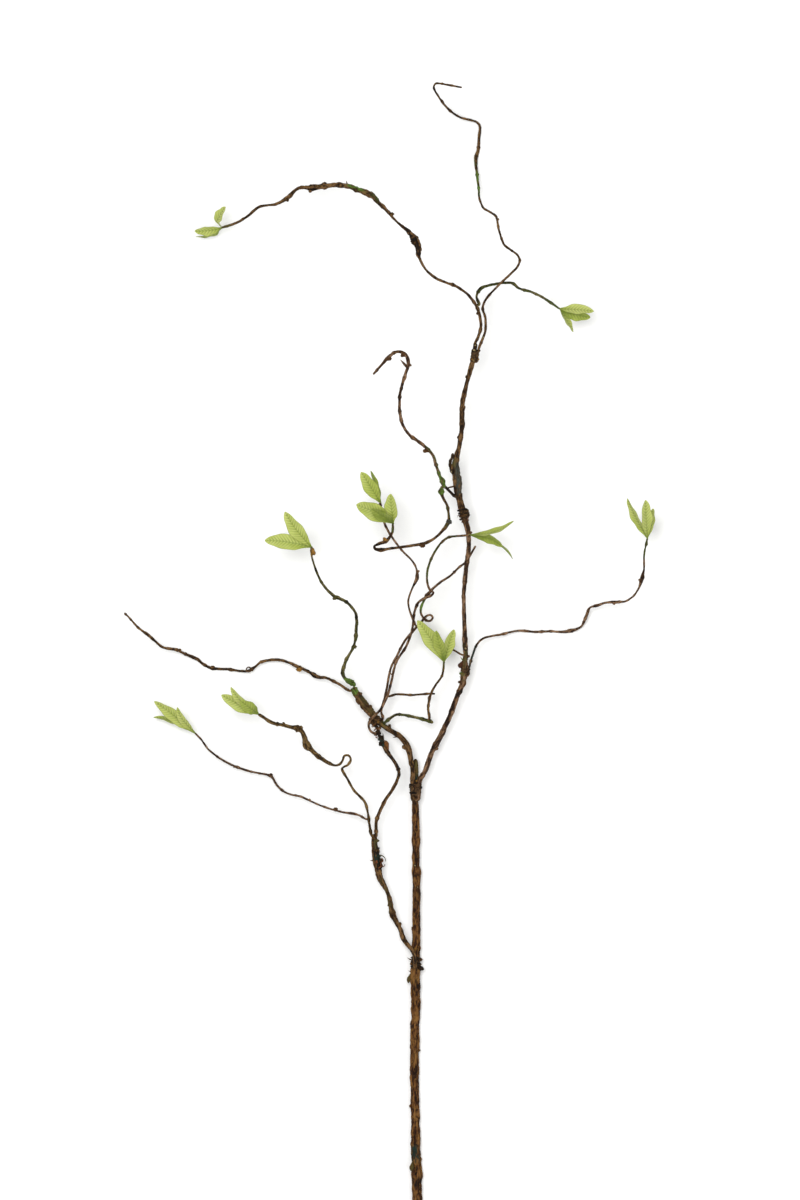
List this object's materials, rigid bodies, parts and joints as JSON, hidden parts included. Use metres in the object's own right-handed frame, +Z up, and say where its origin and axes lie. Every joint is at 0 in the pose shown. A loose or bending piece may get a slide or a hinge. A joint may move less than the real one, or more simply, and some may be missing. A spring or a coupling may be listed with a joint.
{
  "type": "artificial willow twig",
  "caption": "Artificial willow twig: a brown bark stem with forked, curling wire-thin twigs lashed together at knots, and small sprigs of pale willow leaves, lying flat.",
  "frame": {"origin": "bottom centre of the box of the twig as it lies on a table", "axes": "+Y along the length from the cut stem end to the top, +X across the spread, +Z up from the table"},
  "size_m": [0.4246, 0.8998, 0.0666],
  "materials": {
    "stem_bark": "matt moulded bark, chestnut brown with dark seams and ochre flecks",
    "dark_bark": "matt moulded bark, dark brown with ochre flecks",
    "pale_bark": "matt moulded bark, greyish pink brown with fine lengthwise streaks",
    "ochre_bark": "matt moulded bark, ochre brown",
    "moss_bark": "matt moulded bark brushed with moss green paint",
    "binding": "dark waxed binding wire with frayed ends",
    "leaf": "thin soft moulded leaf blade with printed veins, pale yellow-green, faintly translucent, satin"
  },
  "bodies": {
    "root": {"main_stem": "stem_bark", "low_branch": "dark_bark", "left_bough": "dark_bark", "right_bough": "pale_bark", "upper_leader": "dark_bark", "low_riser_twig": "dark_bark", "low_leaf_twig": "pale_bark", "curl_leaf_twig": "ochre_bark", "left_long_twig": "dark_bark", "left_leaf_twig": "moss_bark", "inner_cross_twig": "pale_bark", "inner_loop_twig": "pale_bark", "inner_leaf_twig": "pale_bark", "inner_short_twig": "dark_bark", "inner_green_twig": "moss_bark", "inner_leaf_stalk": "dark_bark", "right_stub_twig": "dark_bark", "right_leaf_twig": "pale_bark", "mid_link_twig": "dark_bark", "mid_hook_twig": "pale_bark", "mid_leaf_twig": "dark_bark", "top_arch_twig": "dark_bark", "top_leaf_twig": "moss_bark", "top_hook_twig": "dark_bark", "stem_tie": "binding", "fork_wrap": "binding", "left_knot_wrap": "binding", "right_knot_wrap": "binding", "leader_knot_wrap": "binding", "top_wrap": "binding", "leaf_a1": "leaf", "leaf_a2": "leaf", "leaf_a3": "leaf", "leaf_b1": "leaf", "leaf_b2": "leaf", "leaf_b3": "leaf", "leaf_c1": "leaf", "leaf_c2": "leaf", "leaf_d1": "leaf", "leaf_d2": "leaf", "leaf_d3": "leaf", "leaf_e1": "leaf", "leaf_e2": "leaf", "leaf_e3": "leaf", "leaf_f1": "leaf", "leaf_f2": "leaf", "leaf_g1": "leaf", "leaf_g2": "leaf", "leaf_g3": "leaf", "leaf_h1": "leaf", "leaf_h2": "leaf", "leaf_h3": "leaf", "leaf_i1": "leaf", "leaf_i2": "leaf", "leaf_i3": "leaf", "leaf_j1": "leaf", "leaf_j2": "leaf", "leaf_j3": "leaf"}
  },
  "joints": []
}
